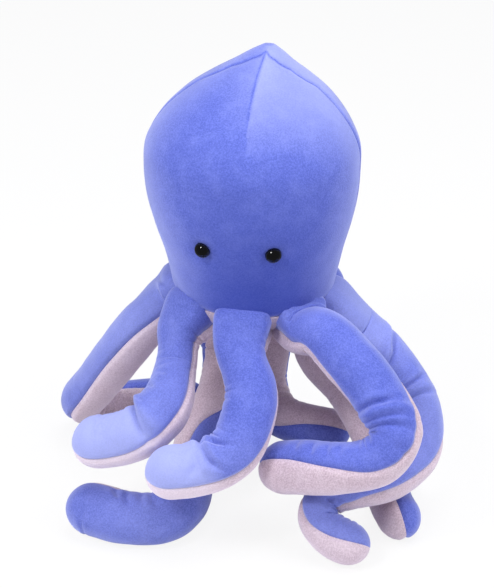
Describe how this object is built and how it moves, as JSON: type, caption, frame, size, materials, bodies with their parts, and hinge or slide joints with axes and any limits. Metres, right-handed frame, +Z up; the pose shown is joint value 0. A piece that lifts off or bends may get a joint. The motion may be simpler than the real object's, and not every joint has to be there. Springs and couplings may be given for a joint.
{
  "type": "plush octopus",
  "caption": "Stuffed toy octopus with an egg-shaped mantle, black eyes and long curling arms that it stands on, blue above and pale below.",
  "frame": {"origin": "middle of the footprint of the whole toy, on the floor that it stands on", "axes": "+Z up, from the floor to the mantle's peak; -Y the way the face looks; +X to the right as seen from the front"},
  "size_m": [0.2804, 0.2214, 0.316],
  "materials": {
    "blue_velour": "short-pile velour, matt with a soft sheen",
    "pale_velour": "short-pile velour, matt",
    "white_filling": "loose polyester fibre",
    "black_plastic": "polished safety eye",
    "white_plastic": "moulded washer"
  },
  "bodies": {
    "toy_body": {"mantle_front_panel": "blue_velour", "mantle_back_left_panel": "blue_velour", "mantle_back_right_panel": "blue_velour", "mantle_filling": "white_filling", "base": "pale_velour", "eye_left": "black_plastic", "eye_right": "black_plastic", "eye_washer_left": "white_plastic", "eye_washer_right": "white_plastic"},
    "arm_left": {"arm_left_top_panel": "blue_velour", "arm_left_underside_panel": "pale_velour", "arm_left_filling": "white_filling"},
    "arm_front_left": {"arm_front_left_top_panel": "blue_velour", "arm_front_left_underside_panel": "pale_velour", "arm_front_left_filling": "white_filling"},
    "arm_front": {"arm_front_top_panel": "blue_velour", "arm_front_underside_panel": "pale_velour", "arm_front_filling": "white_filling"},
    "arm_front_right": {"arm_front_right_top_panel": "blue_velour", "arm_front_right_underside_panel": "pale_velour", "arm_front_right_filling": "white_filling"},
    "arm_right": {"arm_right_top_panel": "blue_velour", "arm_right_underside_panel": "pale_velour", "arm_right_filling": "white_filling"},
    "arm_back_right": {"arm_back_right_top_panel": "blue_velour", "arm_back_right_underside_panel": "pale_velour", "arm_back_right_filling": "white_filling"},
    "arm_back": {"arm_back_top_panel": "blue_velour", "arm_back_underside_panel": "pale_velour", "arm_back_filling": "white_filling"},
    "arm_back_left": {"arm_back_left_top_panel": "blue_velour", "arm_back_left_underside_panel": "pale_velour", "arm_back_left_filling": "white_filling"}
  },
  "joints": [
    {"name": "left_root", "type": "hinge", "parent": "toy_body", "child": "arm_left", "pos_m": [-0.0392, 0.0291, 0.138], "axis": [0, 1, 0], "range_deg": [0, 25]},
    {"name": "front_left_root", "type": "hinge", "parent": "toy_body", "child": "arm_front_left", "pos_m": [-0.02661, -0.00131, 0.138], "axis": [-0.7071, 0.7071, 0], "range_deg": [0, 25]},
    {"name": "front_root", "type": "hinge", "parent": "toy_body", "child": "arm_front", "pos_m": [0.0038, -0.0139, 0.138], "axis": [-1, 0, 0], "range_deg": [0, 22]},
    {"name": "front_right_root", "type": "hinge", "parent": "toy_body", "child": "arm_front_right", "pos_m": [0.03421, -0.00131, 0.138], "axis": [-0.7071, -0.7071, 0], "range_deg": [0, 8]},
    {"name": "right_root", "type": "hinge", "parent": "toy_body", "child": "arm_right", "pos_m": [0.0468, 0.0291, 0.138], "axis": [0, -1, 0], "range_deg": [0, 6]},
    {"name": "back_right_root", "type": "hinge", "parent": "toy_body", "child": "arm_back_right", "pos_m": [0.03421, 0.05951, 0.138], "axis": [0.7071, -0.7071, 0], "range_deg": [0, 15]},
    {"name": "back_root", "type": "hinge", "parent": "toy_body", "child": "arm_back", "pos_m": [0.0038, 0.0721, 0.138], "axis": [1, 0, 0], "range_deg": [0, 25]},
    {"name": "back_left_root", "type": "hinge", "parent": "toy_body", "child": "arm_back_left", "pos_m": [-0.02661, 0.05951, 0.138], "axis": [0.7071, 0.7071, 0], "range_deg": [0, 10]}
  ]
}
